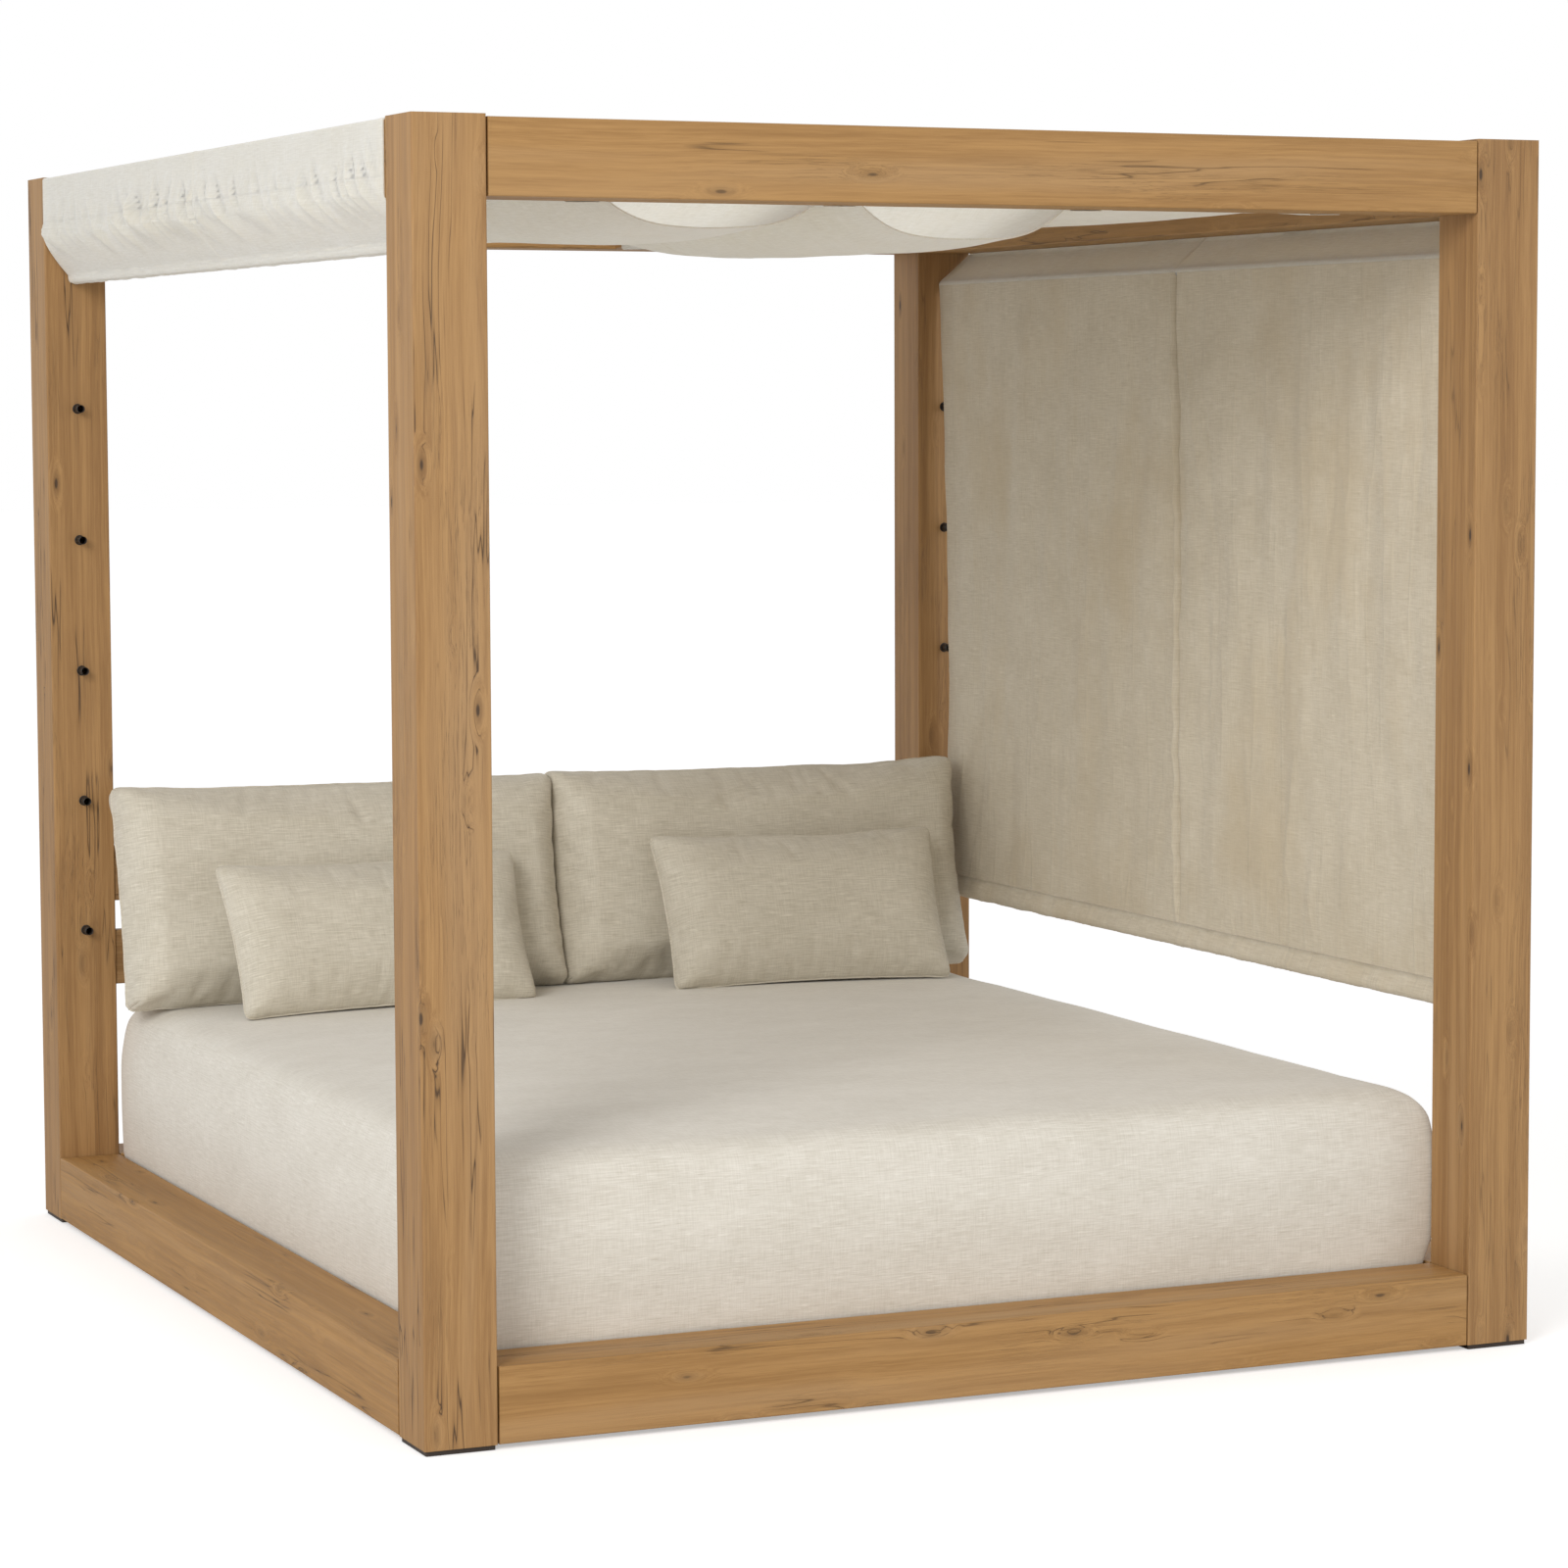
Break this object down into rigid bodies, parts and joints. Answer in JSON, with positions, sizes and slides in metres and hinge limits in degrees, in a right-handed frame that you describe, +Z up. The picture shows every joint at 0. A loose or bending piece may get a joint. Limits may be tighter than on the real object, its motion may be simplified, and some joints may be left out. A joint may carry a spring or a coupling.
{
  "type": "outdoor daybed with canopy",
  "caption": "Timber post-frame daybed with slatted deck, deep mattress, back cushions, pillows, swagged cloth canopy and a side curtain whose hem bars set at several heights.",
  "frame": {"origin": "on the floor, under the middle of the post frame", "axes": "+X to the right seen from the open front, +Y to the back where the cushions lean, +Z up"},
  "size_m": [2.047, 2.39, 2.1],
  "materials": {
    "wood": "oiled",
    "inner_wood": "sawn",
    "foot": "matt",
    "canvas": "woven",
    "mattress_linen": "woven",
    "cushion_linen": "woven",
    "steel": "brushed"
  },
  "bodies": {
    "frame": {"post_front_left": "wood", "post_front_right": "wood", "post_back_left": "wood", "post_back_right": "wood", "foot_front_left": "foot", "foot_front_right": "foot", "foot_back_left": "foot", "foot_back_right": "foot", "top_beam_front": "wood", "top_beam_back": "wood", "top_beam_left": "wood", "top_beam_right": "wood", "bottom_beam_front": "wood", "bottom_beam_back": "wood", "bottom_beam_left": "wood", "bottom_beam_right": "wood", "cross_lath_1": "wood", "cross_lath_2": "wood", "cross_lath_3": "wood", "cross_lath_4": "wood", "deck_ledger_left": "inner_wood", "deck_ledger_right": "inner_wood", "deck_centre_rail": "inner_wood", "deck_centre_foot": "foot", "deck_slat_1": "inner_wood", "deck_slat_2": "inner_wood", "deck_slat_3": "inner_wood", "deck_slat_4": "inner_wood", "deck_slat_5": "inner_wood", "deck_slat_6": "inner_wood", "deck_slat_7": "inner_wood", "deck_slat_8": "inner_wood", "deck_slat_9": "inner_wood", "corner_bracket_front_left": "steel", "corner_bracket_front_right": "steel", "corner_bracket_back_left": "steel", "corner_bracket_back_right": "steel", "back_rail_lower": "inner_wood", "back_rail_upper": "inner_wood", "mattress": "mattress_linen", "back_cushion_left": "cushion_linen", "back_cushion_right": "cushion_linen", "pillow_left": "cushion_linen", "pillow_right": "cushion_linen", "guide_bar_right": "steel", "canopy_cloth": "canvas"},
    "right_bar": {"hem_bar_right": "steel", "hem_sleeve_right": "canvas", "curtain_right": "canvas"},
    "left_bar": {"hem_bar_left": "steel", "hem_sleeve_left": "canvas", "drop_left": "canvas"},
    "pin_right_front": {"pin_right_front": "steel"},
    "pin_right_back": {"pin_right_back": "steel"},
    "pin_left_front": {"pin_left_front": "steel"},
    "pin_left_back": {"pin_left_back": "steel"}
  },
  "joints": [
    {"name": "right_bar_slide", "type": "slide", "parent": "frame", "child": "right_bar", "axis": [0, 0, 1], "range_m": [0, 1.048], "deforming": ["curtain_right"]},
    {"name": "left_bar_slide", "type": "slide", "parent": "frame", "child": "left_bar", "axis": [0, 0, 1], "range_m": [-1.048, 0], "deforming": ["drop_left"]},
    {"name": "pin_right_front_slide", "type": "slide", "parent": "right_bar", "child": "pin_right_front", "axis": [0, -1, 0], "range_m": [0, 0.0145]},
    {"name": "pin_right_back_slide", "type": "slide", "parent": "right_bar", "child": "pin_right_back", "axis": [0, 1, 0], "range_m": [0, 0.0145]},
    {"name": "pin_left_front_slide", "type": "slide", "parent": "left_bar", "child": "pin_left_front", "axis": [0, -1, 0], "range_m": [0, 0.0145]},
    {"name": "pin_left_back_slide", "type": "slide", "parent": "left_bar", "child": "pin_left_back", "axis": [0, 1, 0], "range_m": [0, 0.0145]}
  ],
  "couplings": [
    {"joint": "left_bar_slide", "follows": "right_bar_slide", "ratio": -1}
  ]
}
